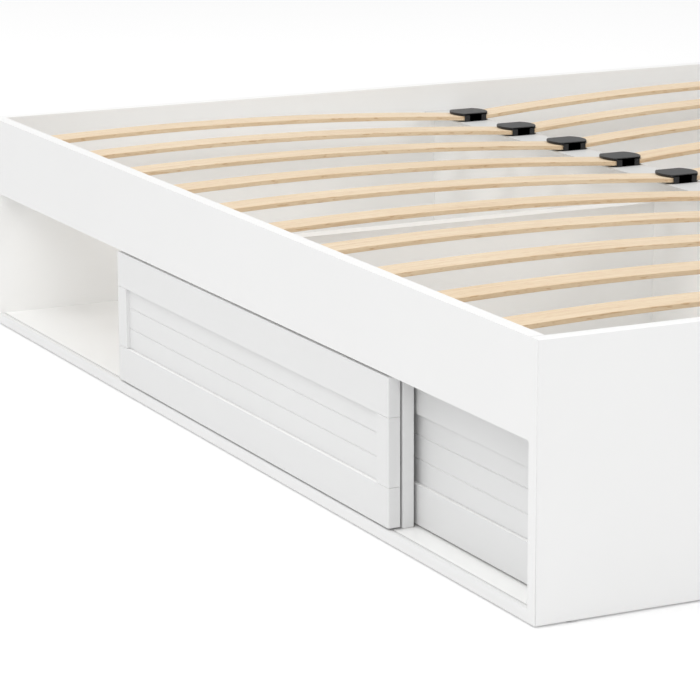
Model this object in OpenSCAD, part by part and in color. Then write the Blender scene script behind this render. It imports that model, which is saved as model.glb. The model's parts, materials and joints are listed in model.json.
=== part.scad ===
/* [Bed] */
// Outside width of the bed, across the two slat columns
bed_w = 1860; // [1700:2:2100]
// Outside length of the bed, from foot panel to head panel
bed_l = 2060; // [2040:2:2160]
// Height of the side rails and end panels above the ground
bed_h = 390; // [385:1:420]
// Thickness of the end panels, side rails and centre partition
board_t = 22; // [18:1:24]
// Radius of the fillets where a side rail meets an end panel
ear_r = 4; // [1:0.5:4]

/* [Storage base] */
// Height of the stick-on glides that keep the boards off the ground
glide_h = 3; // [2:0.5:4]
// Thickness of the storage floor
floor_t = 18; // [16:1:20]
// Underside of the side rail, which is the top of the storage opening
rail_z = 250.8; // [245:0.1:260]
// Thickness of the lipping along the front edge of the storage floor
lipping_t = 8; // [6:0.5:12]
// Width of the groove between lipping and storage floor
groove_w = 3; // [2:0.5:4]
// Depth of that groove
groove_d = 9; // [6:0.5:11]
// Top of the cross partition
cross_z = 290; // [285:1:300]
// Thickness of the cross partition
cross_t = 32; // [12:1:34]
// Distance from the foot end to the cross partition
cross_y = 1210; // [1100:0.5:1300]

/* [Slats] */
// Number of slats in one column
slat_count = 10; // [8:1:10]
// Width of a slat
slat_w = 54.8; // [50:0.1:56]
// Thickness of a slat
slat_t = 8; // [6:0.5:8]
// Distance between neighbouring slats, front edge to front edge
slat_pitch = 190; // [185:0.5:195]
// Distance from the foot end to the front edge of the slat nearest the head
slat_last_y = 1889; // [1885:1:1895]
// Rise of a slat's middle above the line between its ends
slat_crown = 13.8; // [10:0.1:16]
// How much higher a slat sits at the side rail than at the partition
slat_tilt = 16; // [12:0.1:22]

/* [Sliding doors] */
// Length of a door
door_l = 1016; // [1010:1:1020]
// Thickness of a door's frame
door_t = 19.5; // [18:0.5:20]
// Underside of a door
door_z = 24.5; // [24:0.1:26]
// Top of a door
door_top_z = 246.4; // [240:0.1:246.4]
// Height of a door's bottom rail
bottom_rail_h = 59.5; // [50:0.5:65]
// Height of a door's top rail
top_rail_h = 58.7; // [50:0.1:65]
// Width of a door's stiles
stile_w = 37; // [30:1:45]
// How far the panel lies behind the face of the door's frame
recess = 6; // [3:0.5:6.5]
// Distance from the outer face of the bed to the rear door's face
rear_door_x = 47.5; // [47:0.1:48]
// Distance from the foot end to the left front door as it stands
left_front_door_y = 427; // [100:1:900]
// Distance from the foot end to the right front door as it stands
right_front_door_y = 1020; // [100:1:1020]
// Width of the upright battens that carry a door
batten_w = 40; // [30:1:45]
// Top of the battens
batten_top_z = 270; // [262:1:270]

/* [Hidden] */
$fn = 48;
half_w = bed_w / 2;
half_l = bed_l / 2;
in_w = half_w - board_t;
in_l = half_l - board_t;
base_z = glide_h;
floor_z = glide_h + floor_t;
side_gap = 0.2;
joint_gap = 0.3;

// Centre of the bed: a flat rail on the partition's top edge carries the double caps
cap_half = 23.35;
cap_tip = 36;
cap_d = 60;
cap_z = 337;
cap_top_z = 353;
cap_wall = 2;
cap_floor_t = 1;
cap_roof_t = 4.5;
cap_web_half = 13.2;
cap_peg_r = 4;
cap_peg_l = 12;
centre_rail_half = 33;
centre_rail_t = 3;
partition_half = board_t / 2;
partition_top_z = cap_z - centre_rail_t;

// Slats: the seats are the two places where a slat's underside bears
slat_in_x = 15;
slat_out_x = in_w - 6;
slat_seat_x = 26;
slat_seat_top_z = 347.5;
slat_mid_x = (slat_seat_x + slat_out_x) / 2;
slat_half = (slat_out_x - slat_seat_x) / 2;
slat_mid_z = slat_seat_top_z + slat_crown + slat_tilt / 2;
slat_steps = 20;

// Side holders, on a ledge along the side rail
holder_l = 34;
holder_body_l = 24;
holder_floor_t = 4;
holder_roof_t = 3;
holder_pocket_h = 11;
holder_z = slat_seat_top_z + slat_tilt - slat_t - 1 - holder_floor_t;
holder_top_z = holder_z + holder_floor_t + holder_pocket_h + holder_roof_t;
ledge_w = 28;
ledge_h = 28;
ledge_end_y = board_t + 64;
ledge_screws = 7;
ledge_screw_end_y = 130;
ledge_screw_bite = 14;

// Doors: each leaf hangs in front of battens that run up behind the rail
bottom_rail_z = door_z + bottom_rail_h;
top_rail_z = door_top_z - top_rail_h;
panel_t = 9;
tongue = 5;
groove_zs = [119.3, 154.8];
batten_t = 18.3;
spacer_t = 3.8;
spacer_r = 10;
pad_t = 1.2;
pad_gap = 0.3;
fin_t = 1.8;
fin_l = 40;
fin_h = 10.5;
fin_inset = 60;
end_clear = 2;
screw_zs = [55, 215];
door_screw_bite = 12;
rear_door_y = board_t + end_clear;
guide_z = 255;
guide_top_z = 274;
track_top_z = cross_z;
guide_xs = [[42.8, 69.6], [90, 108]];
floor_guide_y = 1030;
floor_guide_l = 24;

// Fittings
cam_r = 7.5;
cam_t = 12.5;
cam_inset = 34;
cam_zs = [308, 378];
bolt_r = 3;
bolt_bore_r = 3.5;
bolt_grip = 10;
glide_r = 9;
small_screw_r = 2;
screw_head_r = 4;

function two(n) = str(n < 10 ? "0" : "", n);
sides = ["left", "right"];
doors = ["front", "rear"];
slat_names = [for (s = sides) for (i = [1 : slat_count]) str(s, "_slat_", two(i))];
door_names = [for (s = sides) for (d = doors) for (p = ["frame", "panel", "battens", "fittings"])
    str(s, "_", d, "_door_", p)];
side_parts = ["side_rail", "floor_lipping", "storage_floor", "cross_partition",
    "slat_ledge", "track_board"];
side_names = [for (s = sides) for (p = side_parts) str(s, "_", p)];

// Puts a left-hand part, drawn from the bed's outer corner, in its place on either side
module at_side(side) {
    mirror([side == "right" ? 1 : 0, 0, 0])
        translate([-half_w, -half_l, 0])
            children();
}

// A block between two corners
module block(low, high) {
    translate(low)
        cube(high - low);
}

// A countersunk screw along +X, its head's face at x = 0
module screw_x(length) {
    rotate([0, 90, 0]) {
        cylinder(h = screw_head_r - small_screw_r, r1 = screw_head_r, r2 = small_screw_r);
        cylinder(h = length, r = small_screw_r);
    }
}

// The space that a screw takes up, a little larger than the screw
module screw_space_x(length) {
    rotate([0, 90, 0]) {
        translate([0, 0, -1])
            cylinder(h = 1 + side_gap, r = screw_head_r + side_gap);
        cylinder(h = screw_head_r - small_screw_r + side_gap,
            r1 = screw_head_r + side_gap, r2 = small_screw_r + side_gap);
        cylinder(h = length + side_gap, r = small_screw_r + side_gap);
    }
}

// ---- Boards ----

module end_panel(head) {
    color("white")
        mirror([0, head ? 1 : 0, 0])
            difference() {
                translate([-half_w, -half_l, base_z])
                    cube([bed_w, board_t, bed_h - base_z]);
                for (s = [-1, 1])
                    for (z = cam_zs)
                        translate([s * (half_w - board_t / 2), -in_l - bolt_grip - side_gap, z])
                            rotate([-90, 0, 0])
                                cylinder(h = bolt_grip + 1, r = bolt_bore_r);
            }
}

// The rail's lower corners run down into small fillets against the end panels
module side_rail(side) {
    color("white")
        at_side(side)
            difference() {
                union() {
                    block([0, board_t, rail_z], [board_t, bed_l - board_t, bed_h]);
                    for (end = [0, 1])
                        translate([0, end * bed_l, 0])
                            mirror([0, end, 0])
                                translate([0, board_t, rail_z - ear_r])
                                    difference() {
                                        cube([board_t, ear_r, ear_r + 1]);
                                        translate([-1, ear_r, 0])
                                            rotate([0, 90, 0])
                                                cylinder(h = board_t + 2, r = ear_r);
                                    }
                }
                for (y = [board_t + cam_inset, bed_l - board_t - cam_inset])
                    for (z = cam_zs)
                        translate([board_t - cam_t - side_gap, y, z])
                            rotate([0, 90, 0])
                                cylinder(h = cam_t + 1, r = cam_r + side_gap);
                for (end = [0, 1])
                    for (z = cam_zs)
                        translate([board_t / 2, end * bed_l, z])
                            mirror([0, end, 0])
                                translate([0, board_t - 1, 0])
                                    rotate([-90, 0, 0])
                                        cylinder(h = cam_inset, r = bolt_bore_r);
                for (y = ledge_screw_ys())
                    translate([board_t + ledge_w, y, holder_z - ledge_h / 2])
                        mirror([1, 0, 0])
                            screw_space_x(ledge_w + ledge_screw_bite);
            }
}

// A strip glued along the floor's front edge, its upper corner rounded
module floor_lipping(side) {
    edge_r = 3;
    color("white")
        at_side(side)
            translate([0, bed_l - board_t, 0])
                rotate([90, 0, 0])
                    linear_extrude(bed_l - 2 * board_t) {
                        translate([edge_r, base_z])
                            square([lipping_t - edge_r, floor_t]);
                        translate([0, base_z])
                            square([lipping_t, floor_t - edge_r]);
                        translate([edge_r, floor_z - edge_r])
                            circle(edge_r);
                    }
}

// The storage floor, with a step along its front edge that leaves the sliding groove
module storage_floor(side) {
    color("white")
        at_side(side)
            difference() {
                block([lipping_t, board_t, base_z], [half_w, bed_l - board_t, floor_z]);
                block([lipping_t - 1, board_t - 1, floor_z - groove_d],
                    [lipping_t + groove_w, bed_l, floor_z + 1]);
            }
}

module centre_partition() {
    color("white")
        difference() {
            block([-partition_half, -in_l, floor_z], [partition_half, in_l, partition_top_z]);
            cap_peg_spaces();
        }
}

module centre_rail() {
    color("#e0e0e0")
        difference() {
            block([-centre_rail_half, -in_l, partition_top_z], [centre_rail_half, in_l, cap_z]);
            cap_peg_spaces();
        }
}

module cross_partition(side) {
    color("white")
        at_side(side)
            block([guide_xs[1][1], cross_y, floor_z],
                [half_w - partition_half, cross_y + cross_t, cross_z]);
}

// ---- Slats ----

function ledge_screw_ys() = [for (i = [0 : ledge_screws - 1])
    ledge_screw_end_y + i * (bed_l - 2 * ledge_screw_end_y) / (ledge_screws - 1)];

module slat_ledge(side) {
    color("burlywood")
        at_side(side)
            difference() {
                block([board_t, ledge_end_y, holder_z - ledge_h],
                    [board_t + ledge_w, bed_l - ledge_end_y, holder_z]);
                for (y = ledge_screw_ys())
                    translate([board_t + ledge_w, y, holder_z - ledge_h / 2])
                        mirror([1, 0, 0])
                            screw_space_x(ledge_w + 1);
            }
}

// Front edge of slat i, counted from the foot, from the bed's middle
function slat_y(i) = slat_last_y - half_l - (slat_count - i) * slat_pitch;

// Front edge of the cap or holder that takes slat i
function cap_y(i) = slat_y(i) - (cap_d - slat_w) / 2;

// Height of a slat's top at a distance x from the bed's centre line
function slat_top(x) = let (s = (slat_mid_x - x) / slat_half)
    slat_mid_z - slat_crown * s * s - slat_tilt / 2 * s;

// A bent beech slat, highest near its middle and lower at the partition
module slat(side, i) {
    span = slat_out_x - slat_in_x;
    xs = [for (k = [0 : slat_steps]) slat_in_x + span * k / slat_steps];
    rim = concat([for (x = xs) [x, slat_top(x)]],
        [for (k = [slat_steps : -1 : 0]) [xs[k], slat_top(xs[k]) - slat_t]]);
    color("burlywood")
        mirror([side == "left" ? 1 : 0, 0, 0])
            translate([0, slat_y(i) + slat_w, 0])
                rotate([90, 0, 0])
                    linear_extrude(slat_w)
                        polygon(rim);
}

// Outline of a plate whose ends bulge past the cap's body
module cap_outline(half, tip, depth) {
    bulge = tip - half;
    r = (pow(depth / 2, 2) + bulge * bulge) / (2 * bulge);
    intersection() {
        translate([-tip, 0])
            square([2 * tip, depth]);
        union() {
            translate([-half, 0])
                square([2 * half, depth]);
            for (s = [-1, 1])
                translate([s * (tip - r), depth / 2])
                    circle(r, $fn = 120);
        }
    }
}

// Where the caps' pegs pass down through the centre rail into the partition
module cap_peg_spaces() {
    for (i = [1 : slat_count])
        translate([0, cap_y(i) + cap_d / 2, cap_z - cap_peg_l - side_gap])
            cylinder(h = cap_peg_l + 1, r = cap_peg_r + side_gap);
}

// A double cap on a peg, with a pocket for a slat on each side
module centre_cap() {
    difference() {
        union() {
            translate([-cap_half, 0, cap_z])
                cube([2 * cap_half, cap_d, cap_top_z - cap_z]);
            translate([0, cap_d / 2, cap_z - cap_peg_l])
                cylinder(h = cap_peg_l + 1, r = cap_peg_r);
            for (plate = [[cap_z, cap_floor_t], [cap_top_z - cap_roof_t, cap_roof_t]])
                translate([0, 0, plate[0]])
                    linear_extrude(plate[1])
                        cap_outline(cap_half, cap_tip, cap_d);
        }
        for (s = [0, 1])
            mirror([s, 0, 0])
                translate([cap_web_half, cap_wall, cap_z + cap_floor_t])
                    cube([cap_tip, cap_d - 2 * cap_wall, cap_top_z - cap_z - cap_floor_t - cap_roof_t]);
    }
}

module centre_slat_caps() {
    color("#202022")
        for (i = [1 : slat_count])
            translate([0, cap_y(i), 0])
                centre_cap();
}

// A single holder on the ledge, open towards the slat
module side_holder() {
    difference() {
        union() {
            translate([0, 0, holder_z])
                cube([holder_body_l, cap_d, holder_top_z - holder_z]);
            for (plate = [[holder_z, holder_floor_t], [holder_top_z - holder_roof_t, holder_roof_t]])
                translate([0, 0, plate[0]])
                    linear_extrude(plate[1])
                        intersection() {
                            translate([holder_l - cap_tip, 0])
                                cap_outline(cap_half, cap_tip, cap_d);
                            square([holder_l, cap_d]);
                        }
        }
        translate([cap_wall, cap_wall, holder_z + holder_floor_t])
            cube([holder_l, cap_d - 2 * cap_wall, holder_pocket_h]);
    }
}

module side_slat_holders() {
    color("#202022")
        for (s = [0, 1])
            mirror([s, 0, 0])
                for (i = [1 : slat_count])
                    translate([-in_w, cap_y(i), 0])
                        side_holder();
}

// ---- Tracks ----

// A flat board behind the rail that the two guide strips hang from
module track_board(side) {
    color("white")
        at_side(side)
            block([board_t, board_t, guide_top_z], [guide_xs[1][1], bed_l - board_t, track_top_z]);
}

module track_guides() {
    color("white")
        for (side = sides)
            at_side(side)
                for (x = guide_xs)
                    block([x[0], board_t, guide_z], [x[1], bed_l - board_t, guide_top_z]);
}

// A plastic channel on each side's floor that the rear door's lower edge runs in
module floor_guides() {
    cheek = 2.8;
    play = 0.4;
    base_t = 2.5;
    guide_h = 17;
    channel = [rear_door_x - play - cheek, rear_door_x + door_t + play + cheek];
    color("#e6e6e6")
        for (side = sides)
            at_side(side)
                translate([0, floor_guide_y - floor_guide_l / 2, 0])
                    difference() {
                        block([channel[0], 0, floor_z], [channel[1], floor_guide_l, floor_z + guide_h]);
                        block([channel[0] + cheek, -1, floor_z + base_t],
                            [channel[1] - cheek, floor_guide_l + 1, floor_z + guide_h + 1]);
                    }
}

// ---- Sliding doors ----

// Puts a door drawn with its outer face at x = 0 and its foot end at y = 0 in its place
module at_door(side, door) {
    front_y = side == "left" ? left_front_door_y : right_front_door_y;
    at_side(side)
        translate(door == "front" ? [0, front_y, 0] : [rear_door_x, rear_door_y, 0])
            children();
}

// The four slots that hold the panel's edges, as one block
module panel_space(play) {
    block([recess - play, stile_w - tongue - play, bottom_rail_z - tongue - play],
        [recess + panel_t + play, door_l - stile_w + tongue + play, top_rail_z + tongue + play]);
}

// Two rails right across the door, with two stiles between them
module door_frame(side, door) {
    color("white")
        at_door(side, door)
            difference() {
                union() {
                    block([0, 0, door_z], [door_t, door_l, bottom_rail_z]);
                    block([0, 0, top_rail_z], [door_t, door_l, door_top_z]);
                    for (y = [0, door_l - stile_w])
                        block([0, y, bottom_rail_z + joint_gap],
                            [door_t, y + stile_w, top_rail_z - joint_gap]);
                }
                panel_space(side_gap);
                for (y = [batten_w / 2, door_l - batten_w / 2])
                    for (z = screw_zs)
                        translate([door_t + spacer_t + batten_t, y, z])
                            mirror([1, 0, 0])
                                screw_space_x(batten_t + spacer_t + door_screw_bite);
            }
}

// A thin panel with two fine V grooves along its face
module door_panel(side, door) {
    color("white")
        at_door(side, door)
            difference() {
                panel_space(0);
                for (z = groove_zs)
                    translate([recess, -1, z])
                        rotate([-90, 0, 0])
                            linear_extrude(door_l + 2)
                                polygon([[-1, -2], [1, 0], [-1, 2]]);
            }
}

module door_battens(side, door) {
    front = door_t + spacer_t;
    color("white")
        at_door(side, door)
            difference() {
                for (y = [0, door_l - batten_w])
                    block([front, y, floor_z + pad_gap + pad_t],
                        [front + batten_t, y + batten_w, batten_top_z]);
                for (y = [batten_w / 2, door_l - batten_w / 2])
                    for (z = screw_zs)
                        translate([front + batten_t, y, z])
                            mirror([1, 0, 0])
                                screw_space_x(batten_t + 1);
            }
}

// Spacer rings, screws, sliding pads and, on a front door, the fins in the floor groove
module door_fittings(side, door) {
    front = door_t + spacer_t;
    color("#d9d9d9")
        at_door(side, door) {
            for (y = [batten_w / 2, door_l - batten_w / 2]) {
                for (z = screw_zs) {
                    translate([door_t, y, z])
                        rotate([0, 90, 0])
                            difference() {
                                cylinder(h = spacer_t, r = spacer_r);
                                translate([0, 0, -1])
                                    cylinder(h = spacer_t + 2, r = small_screw_r + side_gap);
                            }
                    translate([front + batten_t, y, z])
                        mirror([1, 0, 0])
                            screw_x(batten_t + spacer_t + door_screw_bite);
                }
                translate([0, y, 0])
                    block([front + 1, 1 - batten_w / 2, floor_z + pad_gap],
                        [front + batten_t - 1, batten_w / 2 - 1, floor_z + pad_gap + pad_t]);
            }
            if (door == "front")
                for (y = [fin_inset, door_l - fin_inset - fin_l])
                    block([lipping_t + (groove_w - fin_t) / 2, y, door_z - fin_h],
                        [lipping_t + (groove_w + fin_t) / 2, y + fin_l, door_z]);
        }
}

// ---- Fittings ----

module cam_locks() {
    color("silver")
        for (side = sides)
            at_side(side)
                for (y = [board_t + cam_inset, bed_l - board_t - cam_inset])
                    for (z = cam_zs)
                        translate([board_t - cam_t, y, z])
                            rotate([0, 90, 0])
                                difference() {
                                    cylinder(h = cam_t, r = cam_r);
                                    translate([0, 0, -1])
                                        cylinder(h = cam_t - 3, r = cam_r - 3);
                                    translate([-0.8, -4, cam_t - 1.5])
                                        cube([1.6, 8, 2]);
                                    translate([-4, -0.8, cam_t - 1.5])
                                        cube([8, 1.6, 2]);
                                }
}

module cam_bolts() {
    color("silver")
        for (side = sides)
            at_side(side)
                for (end = [0, 1])
                    for (z = cam_zs)
                        translate([board_t / 2, end * bed_l, z])
                            mirror([0, end, 0])
                                translate([0, board_t - bolt_grip, 0])
                                    rotate([-90, 0, 0])
                                        cylinder(h = bolt_grip + cam_inset - cam_r - 1, r = bolt_r);
}

module ledge_screws() {
    color("silver")
        for (side = sides)
            at_side(side)
                for (y = ledge_screw_ys())
                    translate([board_t + ledge_w, y, holder_z - ledge_h / 2])
                        mirror([1, 0, 0])
                            screw_x(ledge_w + ledge_screw_bite);
}

module floor_glides() {
    rows = [-half_l + board_t / 2, -in_l / 2, 0, in_l / 2, half_l - board_t / 2];
    inset = 60;
    color("#b0b0b0")
        for (x = [-half_w + inset, -half_w / 3, half_w / 3, half_w - inset])
            for (y = rows)
                translate([x, y, 0])
                    cylinder(h = glide_h, r = glide_r);
}

end_panel(false);  // foot_end_panel
end_panel(true);  // head_end_panel
centre_partition();
centre_rail();
for (s = sides) {
    side_rail(s);
    floor_lipping(s);
    storage_floor(s);
    cross_partition(s);
    slat_ledge(s);
    track_board(s);
    for (i = [1 : slat_count])
        slat(s, i);
    for (d = doors) {
        door_frame(s, d);
        door_panel(s, d);
        door_battens(s, d);
        door_fittings(s, d);
    }
}
centre_slat_caps();
side_slat_holders();
track_guides();
floor_guides();
cam_locks();
cam_bolts();
ledge_screws();
floor_glides();
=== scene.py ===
import json
import math

import bmesh
import bpy
from mathutils import Matrix, Vector


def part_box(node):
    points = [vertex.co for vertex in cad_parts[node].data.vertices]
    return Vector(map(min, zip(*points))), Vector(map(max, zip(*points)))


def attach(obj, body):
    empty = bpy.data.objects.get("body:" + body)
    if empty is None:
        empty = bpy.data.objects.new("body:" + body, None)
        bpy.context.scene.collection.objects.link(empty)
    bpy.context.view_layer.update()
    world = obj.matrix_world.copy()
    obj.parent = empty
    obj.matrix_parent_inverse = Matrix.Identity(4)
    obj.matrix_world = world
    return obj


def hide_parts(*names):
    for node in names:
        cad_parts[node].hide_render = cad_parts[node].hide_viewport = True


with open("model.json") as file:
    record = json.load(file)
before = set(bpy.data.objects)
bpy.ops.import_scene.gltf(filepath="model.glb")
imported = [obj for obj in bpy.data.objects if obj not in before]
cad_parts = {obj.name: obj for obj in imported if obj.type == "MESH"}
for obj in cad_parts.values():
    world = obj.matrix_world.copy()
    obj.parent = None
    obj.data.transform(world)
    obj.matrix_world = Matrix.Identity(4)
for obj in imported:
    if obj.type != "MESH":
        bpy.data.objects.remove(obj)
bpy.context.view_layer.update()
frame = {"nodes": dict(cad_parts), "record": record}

MM = 0.001
SIDES = ("left", "right")
DOORS = ("front", "rear")
SLATS_PER_SIDE = len([n for n in frame["nodes"] if n.startswith("left_slat_") and n[-1].isdigit()])

# ---- Materials ----


def new_material(name):
    """A node material with its Principled shader, its node tree and a helper that adds nodes."""
    material = bpy.data.materials.new(name)
    material.use_nodes = True
    tree = material.node_tree
    shader = tree.nodes["Principled BSDF"]

    def add(kind, **values):
        node = tree.nodes.new(kind)
        for key, value in values.items():
            if hasattr(node, key):
                setattr(node, key, value)
            else:
                node.inputs[key].default_value = value
        return node

    return material, shader, tree.links.new, add


def object_coordinates(link, add, scale=(1, 1, 1)):
    """Object coordinates, which are the frame's metres, stretched along each axis."""
    where = add("ShaderNodeTexCoord")
    stretch = add("ShaderNodeMapping")
    stretch.inputs["Scale"].default_value = scale
    link(where.outputs["Object"], stretch.inputs["Vector"])
    return stretch.outputs["Vector"]


def noise(link, add, vector, scale, detail=2.0, roughness=0.5):
    node = add("ShaderNodeTexNoise")
    node.inputs["Scale"].default_value = scale
    node.inputs["Detail"].default_value = detail
    node.inputs["Roughness"].default_value = roughness
    link(vector, node.inputs["Vector"])
    return node.outputs["Fac"]


def ramp(link, add, value, stops):
    """A colour ramp; stops are (position, grey or colour)."""
    node = add("ShaderNodeValToRGB")
    elements = node.color_ramp.elements
    while len(elements) < len(stops):
        elements.new(0.5)
    for element, (position, colour) in zip(elements, stops):
        element.position = position
        element.color = (*colour, 1) if isinstance(colour, tuple) else (colour, colour, colour, 1)
    link(value, node.inputs["Fac"])
    return node.outputs["Color"]


def map_range(link, add, value, low, high):
    node = add("ShaderNodeMapRange")
    node.inputs["To Min"].default_value = low
    node.inputs["To Max"].default_value = high
    link(value, node.inputs["Value"])
    return node.outputs["Result"]


def bump(link, add, shader, height, strength, distance, normal=None):
    node = add("ShaderNodeBump")
    node.inputs["Strength"].default_value = strength
    node.inputs["Distance"].default_value = distance
    link(height, node.inputs["Height"])
    if normal is not None:
        link(normal, node.inputs["Normal"])
    link(node.outputs["Normal"], shader.inputs["Normal"])
    return node.outputs["Normal"]


def painted(name, colour, roughness, peel=0.10):
    """Satin paint: a fine orange peel, faint broad unevenness and a slightly varied sheen."""
    material, shader, link, add = new_material(name)
    where = object_coordinates(link, add)
    cloud = noise(link, add, where, 2.3, 3)
    low = tuple(c * 0.985 for c in colour)
    link(ramp(link, add, cloud, ((0.35, low), (0.65, colour))), shader.inputs["Base Color"])
    sheen = noise(link, add, where, 14, 4, 0.6)
    link(map_range(link, add, sheen, roughness - 0.05, roughness + 0.07), shader.inputs["Roughness"])
    broad = bump(link, add, shader, noise(link, add, where, 9, 2), 0.05, 1.5 * MM)
    bump(link, add, shader, noise(link, add, where, 650, 2, 0.45), peel, 0.25 * MM, broad)
    shader.inputs["Specular IOR Level"].default_value = 0.35
    return material


HALF_VENEER = 0.8 * MM


def slat_wood(name):
    """Lacquered laminated beech. The grain_at attribute holds a point's place in its own
    straightened slat: metres along it, across it and down through its layers."""
    material, shader, link, add = new_material(name)
    at = add("ShaderNodeAttribute")
    at.attribute_name = "grain_at"
    place = at.outputs["Vector"]

    def stretched(scale):
        node = add("ShaderNodeMapping")
        node.inputs["Scale"].default_value = scale
        link(place, node.inputs["Vector"])
        return node.outputs["Vector"]

    def mix(kind, factor, a, b):
        node = add("ShaderNodeMix")
        node.data_type = "RGBA"
        node.blend_type = kind
        if isinstance(factor, float):
            node.inputs[0].default_value = factor
        else:
            link(factor, node.inputs[0])
        link(a, node.inputs[6])
        link(b, node.inputs[7])
        return node.outputs[2]

    streaks = noise(link, add, stretched((2.2, 70, 40)), 2.4, 5, 0.62)
    base = ramp(link, add, streaks, (
        (0.30, (0.74, 0.55, 0.36)), (0.46, (0.83, 0.665, 0.465)), (0.60, (0.88, 0.73, 0.535)),
        (0.78, (0.91, 0.78, 0.61))))
    tone = noise(link, add, stretched((0.9, 3, 1)), 1.0, 2)
    toned = mix("MULTIPLY", 0.55, base, ramp(link, add, tone, (
        (0.30, (0.93, 0.88, 0.81)), (0.70, (1.0, 1.0, 1.0)))))
    flecks = noise(link, add, stretched((45, 900, 300)), 1.0, 2, 0.5)
    flecked = mix("MULTIPLY", 0.8, toned, ramp(link, add, flecks, (
        (0.34, (0.80, 0.68, 0.56)), (0.42, (1.0, 1.0, 1.0)))))

    parts = add("ShaderNodeSeparateXYZ")
    link(place, parts.inputs["Vector"])
    layer = add("ShaderNodeMath")
    layer.operation = "PINGPONG"
    link(parts.outputs["Z"], layer.inputs[0])
    layer.inputs[1].default_value = HALF_VENEER
    share = map_range(link, add, layer.outputs["Value"], 0, 1)
    share.node.inputs["From Max"].default_value = HALF_VENEER
    glue = ramp(link, add, share, (
        (0.0, (0.76, 0.63, 0.49)), (0.28, (0.94, 0.88, 0.80)), (0.6, (1.0, 1.0, 1.0))))
    normal = add("ShaderNodeAttribute")
    normal.attribute_name = "edge_face"
    sided = mix("MULTIPLY", normal.outputs["Fac"], flecked, glue)
    link(sided, shader.inputs["Base Color"])

    link(map_range(link, add, streaks, 0.36, 0.56), shader.inputs["Roughness"])
    pores = noise(link, add, stretched((30, 1400, 500)), 1.0, 3, 0.6)
    fine = bump(link, add, shader, pores, 0.22, 0.15 * MM)
    bump(link, add, shader, streaks, 0.10, 0.4 * MM, fine)
    shader.inputs["Coat Weight"].default_value = 0.12
    shader.inputs["Coat Roughness"].default_value = 0.35
    return material


def planed_pine(name):
    """Plain planed pine with soft growth rings along the length."""
    material, shader, link, add = new_material(name)
    where = object_coordinates(link, add, (30, 0.9, 30))
    rings = noise(link, add, where, 3.0, 4, 0.55)
    link(ramp(link, add, rings, (
        (0.30, (0.62, 0.42, 0.22)), (0.50, (0.80, 0.62, 0.38)), (0.75, (0.87, 0.72, 0.48)))),
        shader.inputs["Base Color"])
    link(map_range(link, add, rings, 0.55, 0.7), shader.inputs["Roughness"])
    bump(link, add, shader, rings, 0.2, 0.3 * MM)
    return material


def plastic(name, colour, roughness, grain=0.2):
    """Moulded plastic with a fine spark-eroded texture."""
    material, shader, link, add = new_material(name)
    where = object_coordinates(link, add)
    cloud = noise(link, add, where, 60, 2)
    low = tuple(c * 0.88 for c in colour)
    link(ramp(link, add, cloud, ((0.3, low), (0.7, colour))), shader.inputs["Base Color"])
    speck = noise(link, add, where, 1800, 2)
    link(map_range(link, add, speck, roughness - 0.06, roughness + 0.08), shader.inputs["Roughness"])
    bump(link, add, shader, speck, grain, 0.12 * MM)
    return material


def zinc(name):
    """Bright zinc plating with a faint spangle."""
    material, shader, link, add = new_material(name)
    where = object_coordinates(link, add)
    spangle = noise(link, add, where, 350, 3)
    link(ramp(link, add, spangle, ((0.3, (0.56, 0.57, 0.58)), (0.7, (0.72, 0.73, 0.74)))),
         shader.inputs["Base Color"])
    link(map_range(link, add, spangle, 0.22, 0.42), shader.inputs["Roughness"])
    bump(link, add, shader, spangle, 0.1, 0.1 * MM)
    shader.inputs["Metallic"].default_value = 1.0
    return material


BOARD = painted("painted_board", (0.845, 0.845, 0.842), 0.42)
# A lighter copy of the board white for faces that look upward: a painted highlight.
BOARD_TOP_HIGHLIGHT = painted("board_painted_highlight", (0.935, 0.935, 0.93), 0.42)
# A lighter copy of the door paint for the door frames' upward faces and ledges: a painted highlight.
DOOR_TOP_HIGHLIGHT = painted("door_painted_highlight", (0.96, 0.96, 0.955), 0.38)
# A lighter copy of the board white for the inner boards: painted light where the lamps leave them too
# dark.
INNER_BOARD_PAINTED_LIGHT = painted("inner_board_painted_light", (0.965, 0.965, 0.955), 0.45)
RAIL_COATING = painted("rail_coating", (0.70, 0.70, 0.69), 0.45)
DOOR = painted("door_paint", (0.773, 0.775, 0.773), 0.38)
SLAT = slat_wood("slat_wood")
PINE = planed_pine("ledge_wood")
BLACK = plastic("black_plastic", (0.010, 0.010, 0.011), 0.36)
FITTING = plastic("fitting_plastic", (0.80, 0.80, 0.79), 0.45)
GLIDE = plastic("glide_plastic", (0.50, 0.50, 0.50), 0.5)
ZINC = zinc("zinc")
MATERIALS = {
    "painted_board": BOARD,
    "rail_coating": RAIL_COATING,
    "door_paint": DOOR,
    "slat_wood": SLAT,
    "ledge_wood": PINE,
    "black_plastic": BLACK,
    "fitting_plastic": FITTING,
    "glide_plastic": GLIDE,
    "zinc": ZINC,
}
RECORD = frame["record"]
SLOT_OF = {entry["node"]: entry["material_slot"] for entry in RECORD["subparts"]}
BODY_OF = {node: body for body, nodes in RECORD["behaviour"]["bodies"].items() for node in nodes}

# ---- Mesh tools ----


HIGHLIGHT_FACING_UP = 0.6


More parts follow.
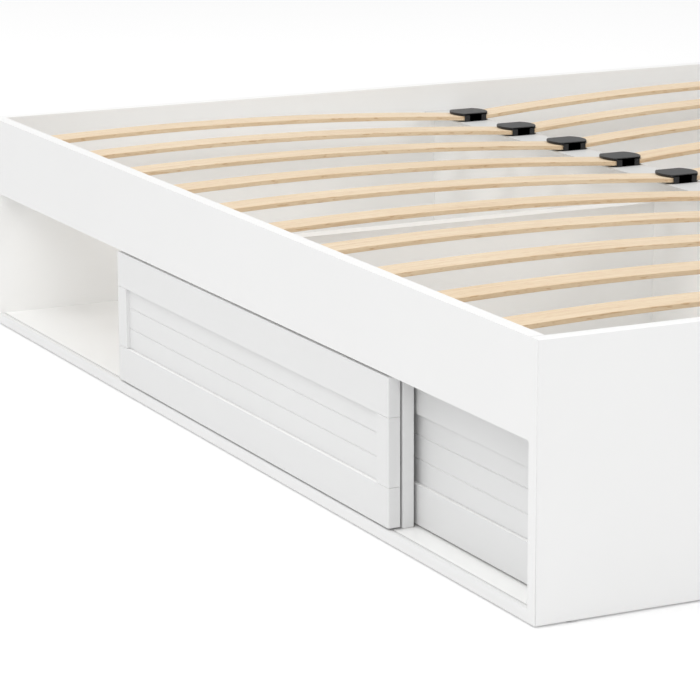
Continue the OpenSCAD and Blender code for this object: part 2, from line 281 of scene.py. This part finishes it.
def finish_piece(name, bm, node, material=None, upper=None):
    """Turns bm into an object that rides with node's body and stands for it, in its slot's material
    unless another is given. Faces that look upward can take a second, lighter material of their own: a
    painted highlight standing in for light from above."""
    mesh = bpy.data.meshes.new(name)
    bmesh.ops.recalc_face_normals(bm, faces=bm.faces)
    for edge in sharp_edges(bm, math.radians(60)):
        edge.smooth = False
    # Two bevels in a row leave the faces in an order that differs from run to run.
    order = sorted(bm.faces, key=lambda f: [round(c, 7) for c in f.calc_center_median()])
    rank = {face: place for place, face in enumerate(order)}
    bm.faces.sort(key=rank.get)
    bm.to_mesh(mesh)
    bm.free()
    for polygon in mesh.polygons:
        polygon.use_smooth = True
    piece = bpy.data.objects.new(name, mesh)
    bpy.context.scene.collection.objects.link(piece)
    mesh.materials.append(material or MATERIALS[SLOT_OF[node]])
    if upper:
        # Faces that look upward get the lighter copy: a painted highlight.
        mesh.materials.append(upper)
        for polygon in mesh.polygons:
            if polygon.normal.z > HIGHLIGHT_FACING_UP:
                polygon.material_index = 1
    weighted = piece.modifiers.new("weighted_normals", "WEIGHTED_NORMAL")
    weighted.weight = 100
    weighted.keep_sharp = True
    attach(piece, BODY_OF[node])
    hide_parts(node)
    return piece


def add_block(bm, low, high):
    """Adds a box between two corners and returns its edges."""
    made = bmesh.ops.create_cube(bm, size=1)
    low, high = Vector(low), Vector(high)
    for vert in made["verts"]:
        vert.co = Vector(low[i] + (vert.co[i] + 0.5) * (high[i] - low[i]) for i in range(3))
    return list({edge for vert in made["verts"] for edge in vert.link_edges})


SAME = 1e-6


def round_edges(bm, edges, radius, segments=3):
    bmesh.ops.bevel(bm, geom=edges, offset=radius, segments=segments, profile=0.5,
                    affect="EDGES", clamp_overlap=True)


def sharp_edges(bm, angle=math.radians(40)):
    return [e for e in bm.edges if len(e.link_faces) == 2 and e.calc_face_angle(0) > angle]


def board(node, radius, material=None):
    """A board the size of its CAD node, with all its edges eased."""
    bm = bmesh.new()
    low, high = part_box(node)
    round_edges(bm, add_block(bm, low, high), radius)
    return finish_piece(node + "_board", bm, node, material)


def add_prism(bm, outline, axis, start, end):
    """Extrudes a closed outline along an axis. Its points are the other two coordinates in order."""
    others = [i for i in range(3) if i != axis]

    def point(pair, along):
        co = [0.0, 0.0, 0.0]
        co[others[0]], co[others[1]] = pair
        co[axis] = along
        return co

    first = [bm.verts.new(point(pair, start)) for pair in outline]
    last = [bm.verts.new(point(pair, end)) for pair in outline]
    count = len(outline)
    faces = [bm.faces.new(first), bm.faces.new(last[::-1])]
    for i in range(count):
        j = (i + 1) % count
        faces.append(bm.faces.new((first[j], first[i], last[i], last[j])))
    bmesh.ops.recalc_face_normals(bm, faces=faces)
    return first + last


def arc(centre, radius, start, end, steps):
    """Points on a circle from one angle to another, in degrees."""
    return [(centre[0] + radius * math.cos(math.radians(start + (end - start) * k / steps)),
             centre[1] + radius * math.sin(math.radians(start + (end - start) * k / steps)))
            for k in range(steps + 1)]


def side_sign(side):
    return -1 if side == "left" else 1


# ---- Boards ----

PANEL_EDGE = 1.8 * MM
BOARD_EDGE = 1.2 * MM
HIDDEN_EDGE = 0.8 * MM
CUT_EDGE = 0.25 * MM


def end_panel(node, outward, material=None):
    """An end panel, rounded round its outer face and along its inner top edge; its other edges are
    left sharp.
    """
    bm = bmesh.new()
    low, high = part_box(node)
    outer_y = low.y if outward < 0 else high.y
    edges = add_block(bm, low, high)
    outer = [e for e in edges if all(abs(v.co.y - outer_y) < SAME for v in e.verts)]
    rim = [e for e in edges if e not in outer and all(abs(v.co.z - high.z) < SAME for v in e.verts)]
    inner_top = [e for e in rim if abs(e.verts[0].co.y - e.verts[1].co.y) < SAME]
    round_edges(bm, outer + inner_top, PANEL_EDGE)
    # Its faces that look upward take the lighter white, a painted highlight.
    return finish_piece(node + "_board", bm, node, material, BOARD_TOP_HIGHLIGHT)


end_panel("foot_end_panel", -1)
# The head panel, partitions and floors take the lighter inner white, which is painted light.
end_panel("head_end_panel", 1, INNER_BOARD_PAINTED_LIGHT)
board("centre_partition", CUT_EDGE, INNER_BOARD_PAINTED_LIGHT)
board("centre_rail", HIDDEN_EDGE)
for side in SIDES:
    board(f"{side}_cross_partition", CUT_EDGE, INNER_BOARD_PAINTED_LIGHT)
    board(f"{side}_track_board", HIDDEN_EDGE)
    board(f"{side}_slat_ledge", HIDDEN_EDGE)

EAR = 4 * MM
RAIL_Z = 250.8 * MM


def side_rail(side):
    """The rail over the storage opening, with a small fillet down each end panel."""
    node = f"{side}_side_rail"
    low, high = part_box(node)
    near = arc((low.y + EAR, low.z), EAR, 180, 90, 6)
    far = arc((high.y - EAR, low.z), EAR, 90, 0, 6)
    outline = near + far + [(high.y, high.z), (low.y, high.z)]
    bm = bmesh.new()
    add_prism(bm, outline, 0, low.x, high.x)

    def at_an_end(edge):
        return any(all(abs(v.co.y - y) < SAME for v in edge.verts) for y in (low.y, high.y))

    round_edges(bm, [e for e in sharp_edges(bm) if not at_an_end(e)], BOARD_EDGE)
    # Its faces that look upward take the lighter white, a painted highlight.
    return finish_piece(node + "_board", bm, node, upper=BOARD_TOP_HIGHLIGHT)


LIPPING_CROWN = 3 * MM


def floor_lipping(side):
    """The lipping with its rounded upper edge on the outside."""
    node = f"{side}_floor_lipping"
    low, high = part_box(node)
    sign = side_sign(side)
    outer, inner = (low.x, high.x) if sign < 0 else (high.x, low.x)
    radius = LIPPING_CROWN
    start, end = (180, 90) if sign < 0 else (0, 90)
    crown = arc((outer - sign * radius, high.z - radius), radius, start, end, 8)
    start, end = (90, 0) if sign < 0 else (90, 180)
    back_corner = (inner + sign * HIDDEN_EDGE, high.z - HIDDEN_EDGE)
    back = arc(back_corner, HIDDEN_EDGE, start, end, 3)
    outline = [(outer, low.z)] + crown + back + [(inner, low.z)]
    bm = bmesh.new()
    add_prism(bm, outline, 1, low.y, high.y)
    return finish_piece(node + "_strip", bm, node)


GROOVE_W = 3 * MM
GROOVE_D = 9 * MM
LIP_EDGE = 1 * MM


def storage_floor(side):
    """The floor board with the step that leaves the sliding groove along the lipping."""
    node = f"{side}_storage_floor"
    low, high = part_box(node)
    sign = side_sign(side)
    outer, inner = (low.x, high.x) if sign < 0 else (high.x, low.x)
    step = outer - sign * GROOVE_W
    start, end = (180, 90) if sign < 0 else (0, 90)
    lip = arc((step - sign * LIP_EDGE, high.z - LIP_EDGE), LIP_EDGE, start, end, 4)
    outline = [(outer, low.z), (outer, high.z - GROOVE_D), (step, high.z - GROOVE_D)]
    outline += lip + [(inner, high.z), (inner, low.z)]
    bm = bmesh.new()
    add_prism(bm, outline, 1, low.y, high.y)
    # The floor takes the lighter inner white, which is painted light.
    return finish_piece(node + "_board", bm, node, INNER_BOARD_PAINTED_LIGHT)


OUTER_GUIDE_W = 26.8 * MM
INNER_GUIDE_W = 18 * MM


def track_guides():
    """The strips under each track board that the battens' tops run between."""
    node = "track_guides"
    low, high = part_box(node)
    bm = bmesh.new()
    edges = []
    for side in SIDES:
        sign = side_sign(side)
        outer = low.x if sign < 0 else high.x
        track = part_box(f"{side}_track_board")
        inner = track[1].x if sign < 0 else track[0].x
        for a, b in ((outer, outer - sign * OUTER_GUIDE_W), (inner + sign * INNER_GUIDE_W, inner)):
            edges += add_block(bm, (min(a, b), low.y, low.z), (max(a, b), high.y, high.z))
    round_edges(bm, edges, HIDDEN_EDGE)
    return finish_piece(node + "_strips", bm, node)


track_guides()
for side in SIDES:
    side_rail(side)
    floor_lipping(side)
    storage_floor(side)

# ---- Slats ----

SLAT_MID_X = 464 * MM
SLAT_HALF = 438 * MM
SLAT_MID_Z = 369.3 * MM
SLAT_CROWN = 13.8 * MM
SLAT_TILT = 16 * MM
SLAT_T = 8 * MM
SLAT_EDGE = 1.3 * MM
SLAT_STEPS = 64
EDGE_SKIN = 0.3 * MM
GRAIN_SHIFT = (3.7, 0.9)


def slat_top(x):
    s = (SLAT_MID_X - x) / SLAT_HALF
    return SLAT_MID_Z - SLAT_CROWN * s * s - SLAT_TILT / 2 * s


def slat(side, number):
    """A bent slat with rounded long edges; grain_at and edge_face feed its wood."""
    node = f"{side}_slat_{number:02d}"
    low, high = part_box(node)
    sign = side_sign(side)
    x_in, x_out = sorted((abs(low.x), abs(high.x)))
    width = high.y - low.y
    section = []
    far, upper, lower = width - SLAT_EDGE, -SLAT_EDGE, SLAT_EDGE - SLAT_T
    corners = ((far, upper, 90, 0), (far, lower, 0, -90),
               (SLAT_EDGE, lower, -90, -180), (SLAT_EDGE, upper, 180, 90))
    for y, z, start, end in corners:
        section += arc((y, z), SLAT_EDGE, start, end, 4)
    bm = bmesh.new()
    grain = bm.verts.layers.float_vector.new("grain_at")
    edge = bm.verts.layers.float.new("edge_face")
    offset = number + (SLATS_PER_SIDE if side == "right" else 0)
    rings = []
    for k in range(SLAT_STEPS + 1):
        x = x_in + (x_out - x_in) * k / SLAT_STEPS
        ring = []
        for y, down in section:
            vert = bm.verts.new((sign * x, low.y + y, slat_top(x) + down))
            vert[grain] = (x + GRAIN_SHIFT[0] * offset, y + GRAIN_SHIFT[1] * offset, -down)
            vert[edge] = 1.0 if EDGE_SKIN < -down < SLAT_T - EDGE_SKIN else 0.0
            ring.append(vert)
        rings.append(ring)
    count = len(section)
    for a, b in zip(rings, rings[1:]):
        for i in range(count):
            j = (i + 1) % count
            bm.faces.new((a[i], a[j], b[j], b[i]))
    bm.faces.new(rings[0])
    bm.faces.new(rings[-1][::-1])
    return finish_piece(node + "_wood", bm, node)


for side in SIDES:
    for number in range(1, SLATS_PER_SIDE + 1):
        slat(side, number)

# ---- Slat caps ----

CAP_HALF = 23.35 * MM
CAP_TIP = 36 * MM
CAP_D = 60 * MM
CAP_WALL = 2 * MM
CAP_ROOF = 4.5 * MM
CAP_FLOOR = 1 * MM
CAP_H = 16 * MM
CAP_WEB = 13.2 * MM
CAP_RIM = 1.1 * MM
HOLDER_RIM = 0.9 * MM
FLOOR_RIM = 0.3 * MM
WALL_EDGE = 0.5 * MM
WEB_EDGE = 0.4 * MM
INSET = 1 * MM
PEG_R = 4 * MM


def plate_outline(x_body, x_tip, y_low, y_high, steps=14):
    """A plate's bulging end: a flat arc from one corner of the body over the tip to the other."""
    half = (y_high - y_low) / 2
    bulge = abs(x_tip - x_body)
    radius = (half * half + bulge * bulge) / (2 * bulge)
    sign = 1 if x_tip > x_body else -1
    centre = x_tip - sign * radius
    spread = math.asin(half / radius)
    return [(centre + sign * radius * math.cos(spread * (2 * k / steps - 1)),
             (y_low + y_high) / 2 + radius * math.sin(spread * (2 * k / steps - 1)))
            for k in range(steps + 1)]


def add_rounded_prism(bm, outline, low_z, high_z, radius):
    """A flat plate with its upper and lower rims rounded."""
    fresh = bmesh.new()
    add_prism(fresh, outline, 2, low_z, high_z)
    rims = [e for e in fresh.edges if abs(e.verts[0].co.z - e.verts[1].co.z) < SAME]
    round_edges(fresh, rims, radius, 3)
    merge_into(bm, fresh)


def merge_into(bm, other):
    mesh = bpy.data.meshes.new("merge")
    other.to_mesh(mesh)
    other.free()
    bm.from_mesh(mesh)
    bpy.data.meshes.remove(mesh)


def add_eased_block(bm, low, high, radius):
    fresh = bmesh.new()
    round_edges(fresh, add_block(fresh, low, high), radius, 2)
    merge_into(bm, fresh)


def centre_caps():
    """Double caps on the centre rail: roof and floor plates, end walls, a web and a peg below."""
    node = "centre_slat_caps"
    low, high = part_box(node)
    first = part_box("left_slat_01")
    middle = (first[0].y + first[1].y) / 2
    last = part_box(f"left_slat_{SLATS_PER_SIDE:02d}")
    pitch = ((last[0].y + last[1].y) / 2 - middle) / (SLATS_PER_SIDE - 1)
    bm = bmesh.new()
    for k in range(SLATS_PER_SIDE):
        centre = middle + k * pitch
        y0 = centre - CAP_D / 2
        y1 = y0 + CAP_D
        base = high.z - CAP_H
        top = high.z - INSET
        plate = plate_outline(CAP_HALF, CAP_TIP, y0, y1)
        plate += plate_outline(-CAP_HALF, -CAP_TIP, y0, y1)[::-1]
        add_rounded_prism(bm, plate, high.z - CAP_ROOF, high.z, CAP_RIM)
        add_rounded_prism(bm, plate, base, base + CAP_FLOOR, FLOOR_RIM)
        for wall in (y0, y1 - CAP_WALL):
            add_eased_block(bm, (-CAP_HALF, wall, base), (CAP_HALF, wall + CAP_WALL, top), WALL_EDGE)
        add_eased_block(bm, (-CAP_WEB, y0, base), (CAP_WEB, y1, top), WEB_EDGE)
        add_prism(bm, arc((0, centre), PEG_R, 0, 345, 23), 2, low.z, base + CAP_FLOOR)
    return finish_piece(node + "_moulded", bm, node)


HOLDER_L = 34 * MM
HOLDER_BODY = 24 * MM
HOLDER_ROOF = 3 * MM
HOLDER_FLOOR = 4 * MM


def side_holders():
    """Single holders on the ledges, open towards the slats."""
    node = "side_slat_holders"
    low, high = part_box(node)
    bm = bmesh.new()
    for sign in (-1, 1):
        back = high.x if sign > 0 else low.x
        body = back - sign * HOLDER_BODY
        tip = back - sign * HOLDER_L
        for number in range(1, SLATS_PER_SIDE + 1):
            a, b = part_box(f"left_slat_{number:02d}")
            y0 = (a.y + b.y) / 2 - CAP_D / 2
            y1 = y0 + CAP_D
            plate = plate_outline(body, tip, y0, y1) + [(back, y1), (back, y0)]
            add_rounded_prism(bm, plate, high.z - HOLDER_ROOF, high.z, HOLDER_RIM)
            add_rounded_prism(bm, plate, low.z, low.z + HOLDER_FLOOR, HOLDER_RIM)
            bottom, top = low.z + INSET, high.z - INSET
            xs = sorted((back, body))
            for wall in (y0, y1 - CAP_WALL):
                add_eased_block(bm, (xs[0], wall, bottom), (xs[1], wall + CAP_WALL, top), WALL_EDGE)
            web = sorted((back, back - sign * CAP_WALL))
            add_eased_block(bm, (web[0], y0, bottom), (web[1], y1, top), WALL_EDGE)
    return finish_piece(node + "_moulded", bm, node)


centre_caps()
side_holders()

# ---- Sliding doors ----

STILE_W = 37 * MM
BOTTOM_RAIL_H = 59.5 * MM
TOP_RAIL_H = 58.7 * MM
JOINT_GAP = 0.3 * MM
END_EDGE = 2.6 * MM
JOINT_EDGE = 0.55 * MM
GROOVE_ZS = (119.3 * MM, 154.8 * MM)
SEAM = 0.5 * MM
SEAM_DEPTH = 2 * MM
V_HALF = 1.6 * MM
V_DEPTH = 1.2 * MM


def add_door_board(bm, low, high, face_x, soft_ys):
    """A rail or stile: its front corners at soft_ys are well rounded, its other edges barely."""
    fresh = bmesh.new()
    add_block(fresh, low, high)

    def upright(edge):
        a, b = (v.co for v in edge.verts)
        return abs(a.x - face_x) < SAME and abs(b.x - face_x) < SAME and abs(a.z - b.z) > 1e-3

    corners = [e for e in fresh.edges if upright(e)]
    soft = [e for e in corners if any(abs(e.verts[0].co.y - y) < SAME for y in soft_ys)]
    if soft:
        round_edges(fresh, soft, END_EDGE, 5)
    round_edges(fresh, sharp_edges(fresh), JOINT_EDGE, 2)
    merge_into(bm, fresh)


def door_frame(side, door):
    node = f"{side}_{door}_door_frame"
    low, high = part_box(node)
    face_x = low.x if side == "left" else high.x
    ends = (low.y, high.y)
    lower = low.z + BOTTOM_RAIL_H
    upper = high.z - TOP_RAIL_H
    bm = bmesh.new()
    add_door_board(bm, low, (high.x, high.y, lower), face_x, ends)
    add_door_board(bm, (low.x, low.y, upper), high, face_x, ends)
    for a, b in ((low.y, low.y + STILE_W), (high.y - STILE_W, high.y)):
        add_door_board(bm, (low.x, a, lower + JOINT_GAP), (high.x, b, upper - JOINT_GAP), face_x, ends)
    # The frame's faces that look upward take the lighter white, a painted highlight.
    return finish_piece(node + "_wood", bm, node, upper=DOOR_TOP_HIGHLIGHT)


def door_panel(side, door):
    """The thin panel, with V grooves along its outer face and a fine seam over the bottom rail."""
    node = f"{side}_{door}_door_panel"
    low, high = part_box(node)
    face, back = (low.x, high.x) if side == "left" else (high.x, low.x)
    inward = 1 if side == "left" else -1
    rail_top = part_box(f"{side}_{door}_door_frame")[0].z + BOTTOM_RAIL_H
    slit = face + inward * SEAM_DEPTH
    outline = [(back, low.z), (face, low.z), (face, rail_top - SEAM), (slit, rail_top - SEAM)]
    outline += [(slit, rail_top + SEAM), (face, rail_top + SEAM)]
    for z in GROOVE_ZS:
        outline += [(face, z - V_HALF), (face + inward * V_DEPTH, z), (face, z + V_HALF)]
    outline += [(face, high.z), (back, high.z)]
    bm = bmesh.new()
    add_prism(bm, outline, 1, low.y, high.y)
    piece = finish_piece(node + "_board", bm, node)
    for polygon in piece.data.polygons:
        polygon.use_smooth = False
    return piece


BATTEN_W = 40 * MM
BATTEN_EDGE = 0.9 * MM


def door_battens(side, door):
    node = f"{side}_{door}_door_battens"
    low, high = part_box(node)
    bm = bmesh.new()
    edges = []
    for a, b in ((low.y, low.y + BATTEN_W), (high.y - BATTEN_W, high.y)):
        edges += add_block(bm, (low.x, a, low.z), (high.x, b, high.z))
    round_edges(bm, edges, BATTEN_EDGE)
    return finish_piece(node + "_wood", bm, node)


for side in SIDES:
    for door in DOORS:
        door_frame(side, door)
        door_panel(side, door)
        door_battens(side, door)

# ---- CAD pieces that stay ----

for node, piece in frame["nodes"].items():
    if not piece.hide_render:
        piece.data.materials.clear()
        piece.data.materials.append(MATERIALS[SLOT_OF[node]])

# ---- Floor, light and camera ----


FLOOR_REACH = 30
FLOOR_GLOW = 0.12


def studio_floor():
    bm = bmesh.new()
    bmesh.ops.create_grid(bm, x_segments=1, y_segments=1, size=FLOOR_REACH)
    mesh = bpy.data.meshes.new("studio_floor")
    bm.to_mesh(mesh)
    bm.free()
    floor = bpy.data.objects.new("studio_floor", mesh)
    bpy.context.scene.collection.objects.link(floor)
    material, shader, link, add = new_material("studio_floor")
    where = object_coordinates(link, add)
    cloud = noise(link, add, where, 0.5, 2)
    link(ramp(link, add, cloud, ((0.3, 0.895), (0.7, 0.905))), shader.inputs["Base Color"])
    shader.inputs["Roughness"].default_value = 0.9
    shader.inputs["Specular IOR Level"].default_value = 0.1
    shader.inputs["Emission Color"].default_value = (1, 1, 1, 1)
    shader.inputs["Emission Strength"].default_value = FLOOR_GLOW
    mesh.materials.append(material)


LIGHT_REACH = 12
LIGHT_SIZE = 5
LIGHT_AIM = Vector((0, 0, 0.2))


def softbox(name, azimuth, elevation, power):
    """A large square light far from the bed, at angles in degrees from +X and from level."""
    light = bpy.data.lights.new(name, "AREA")
    light.shape = "SQUARE"
    light.size = LIGHT_SIZE
    light.energy = power
    lamp = bpy.data.objects.new(name, light)
    turn, rise = math.radians(azimuth), math.radians(elevation)
    level = LIGHT_REACH * math.cos(rise)
    arm = Vector((level * math.cos(turn), level * math.sin(turn), LIGHT_REACH * math.sin(rise)))
    lamp.location = LIGHT_AIM + arm
    lamp.rotation_euler = (-arm).to_track_quat("-Z", "Y").to_euler()
    bpy.context.scene.collection.objects.link(lamp)


def surround(strength):
    world = bpy.data.worlds.new("surround")
    world.use_nodes = True
    sky = world.node_tree.nodes["Background"]
    sky.inputs["Color"].default_value = (1, 1, 1, 1)
    sky.inputs["Strength"].default_value = strength
    bpy.context.scene.world = world


CAMERA_PLACE = (-2.8959, -4.4841, 1.3107)
CAMERA_YAW = 26.158
CAMERA_PITCH = 13.237
CAMERA_ROLL = 0.203
CAMERA_LENS = 162.94
CAMERA_SENSOR = 36
CAMERA_FAR = 100


def camera():
    data = bpy.data.cameras.new("camera")
    data.lens = CAMERA_LENS
    data.sensor_width = CAMERA_SENSOR
    data.clip_end = CAMERA_FAR
    eye = bpy.data.objects.new("camera", data)
    turn = Matrix.Rotation(math.radians(-CAMERA_YAW), 4, "Z")
    tilt = Matrix.Rotation(math.radians(90 - CAMERA_PITCH), 4, "X")
    roll = Matrix.Rotation(math.radians(-CAMERA_ROLL), 4, "Z")
    eye.matrix_world = Matrix.Translation(CAMERA_PLACE) @ turn @ tilt @ roll
    bpy.context.scene.collection.objects.link(eye)
    bpy.context.scene.camera = eye


studio_floor()
surround(0.54)
softbox("front_left", -135, 35, 285)
softbox("high_left", 180, 65, 345)
softbox("front_right", -45, 35, 240)
softbox("back", 90, 65, 280)
camera()
bpy.context.scene.view_settings.view_transform = "Standard"
